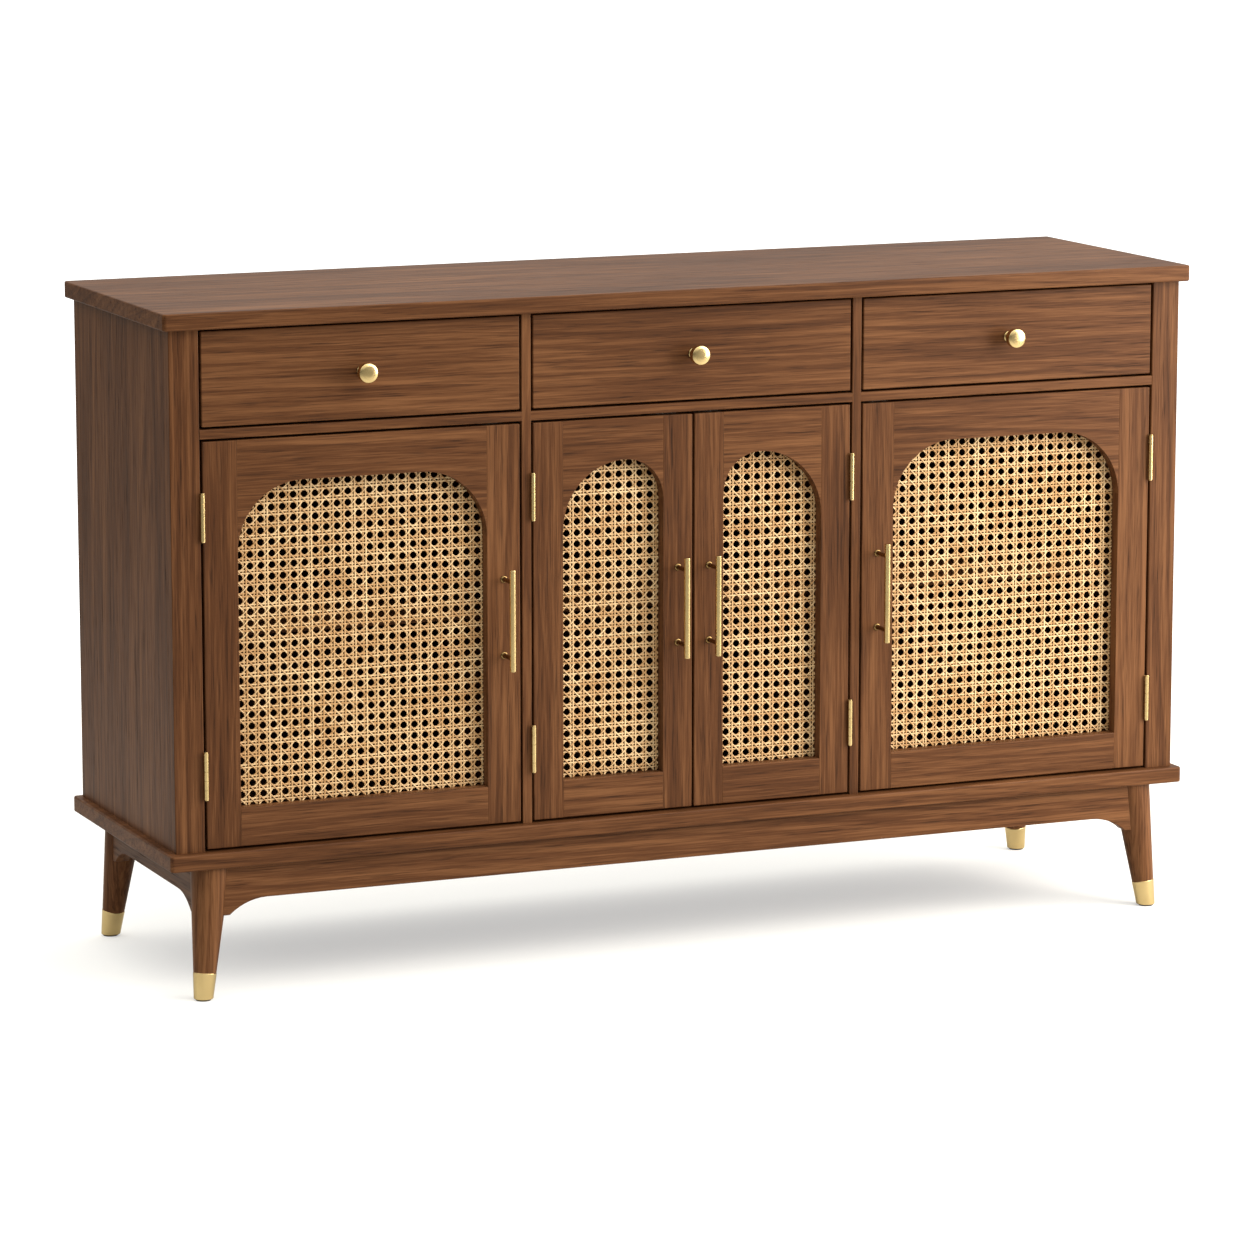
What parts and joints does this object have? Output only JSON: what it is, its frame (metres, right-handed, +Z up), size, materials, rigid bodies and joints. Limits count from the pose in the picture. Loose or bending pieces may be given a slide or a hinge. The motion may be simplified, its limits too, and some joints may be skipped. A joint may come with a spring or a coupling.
{
  "type": "sideboard buffet",
  "caption": "Long low sideboard: drawers over arched, cane-panelled doors between two thin slabs, on splayed tapered legs with metal tips; the drawers slide and the doors swing.",
  "frame": {"origin": "on the floor, at the middle of the whole piece's bounding box", "axes": "+X to the right along the width, -Y out of the drawers and doors, +Z up"},
  "size_m": [1.4, 0.422, 0.85],
  "materials": {
    "walnut": "satin",
    "backboard": "matte",
    "hardwood": "matte",
    "drawer_wood": "matte",
    "cane": "matte",
    "brass": "brushed",
    "catch": "matte",
    "pad": "matte"
  },
  "bodies": {
    "cabinet": {"top_panel": "walnut", "base_slab": "walnut", "left_side_panel": "walnut", "right_side_panel": "walnut", "front_stiles": "walnut", "left_partition": "walnut", "right_partition": "walnut", "drawer_decks": "walnut", "back_panel": "backboard", "shelves": "walnut", "shelf_pins": "brass", "front_apron": "walnut", "rear_apron": "walnut", "side_aprons": "walnut", "ferrules": "brass", "foot_pads": "pad", "drawer_runners": "hardwood", "magnet_catches": "catch", "frame_hinge_leaves": "brass", "hinge_pins": "brass", "front_left_leg": "walnut", "front_right_leg": "walnut", "rear_left_leg": "walnut", "rear_right_leg": "walnut"},
    "left_drawer": {"left_drawer_front": "walnut", "left_drawer_box": "drawer_wood", "left_drawer_bottom": "drawer_wood", "left_drawer_knob": "brass"},
    "centre_drawer": {"centre_drawer_front": "walnut", "centre_drawer_box": "drawer_wood", "centre_drawer_bottom": "drawer_wood", "centre_drawer_knob": "brass"},
    "right_drawer": {"right_drawer_front": "walnut", "right_drawer_box": "drawer_wood", "right_drawer_bottom": "drawer_wood", "right_drawer_knob": "brass"},
    "left_door": {"left_door_stiles": "walnut", "left_door_rails": "walnut", "left_door_cane": "cane", "left_door_bead": "hardwood", "left_door_handle": "brass", "left_door_hinge_leaves": "brass"},
    "inner_left_door": {"inner_left_door_stiles": "walnut", "inner_left_door_rails": "walnut", "inner_left_door_cane": "cane", "inner_left_door_bead": "hardwood", "inner_left_door_handle": "brass", "inner_left_door_hinge_leaves": "brass"},
    "inner_right_door": {"inner_right_door_stiles": "walnut", "inner_right_door_rails": "walnut", "inner_right_door_cane": "cane", "inner_right_door_bead": "hardwood", "inner_right_door_handle": "brass", "inner_right_door_hinge_leaves": "brass"},
    "right_door": {"right_door_stiles": "walnut", "right_door_rails": "walnut", "right_door_cane": "cane", "right_door_bead": "hardwood", "right_door_handle": "brass", "right_door_hinge_leaves": "brass"}
  },
  "joints": [
    {"name": "left_drawer_slide", "type": "slide", "parent": "cabinet", "child": "left_drawer", "axis": [0, -1, 0], "range_m": [0, 0.23]},
    {"name": "centre_drawer_slide", "type": "slide", "parent": "cabinet", "child": "centre_drawer", "axis": [0, -1, 0], "range_m": [0, 0.23]},
    {"name": "right_drawer_slide", "type": "slide", "parent": "cabinet", "child": "right_drawer", "axis": [0, -1, 0], "range_m": [0, 0.23]},
    {"name": "left_door_hinge", "type": "hinge", "parent": "cabinet", "child": "left_door", "pos_m": [-0.6505, -0.1802, 0.44], "axis": [0, 0, -1], "range_deg": [0, 110]},
    {"name": "inner_left_door_hinge", "type": "hinge", "parent": "cabinet", "child": "inner_left_door", "pos_m": [-0.219, -0.1802, 0.44], "axis": [0, 0, -1], "range_deg": [0, 110]},
    {"name": "inner_right_door_hinge", "type": "hinge", "parent": "cabinet", "child": "inner_right_door", "pos_m": [0.219, -0.1802, 0.44], "axis": [0, 0, 1], "range_deg": [0, 110]},
    {"name": "right_door_hinge", "type": "hinge", "parent": "cabinet", "child": "right_door", "pos_m": [0.6505, -0.1802, 0.44], "axis": [0, 0, 1], "range_deg": [0, 110]}
  ]
}
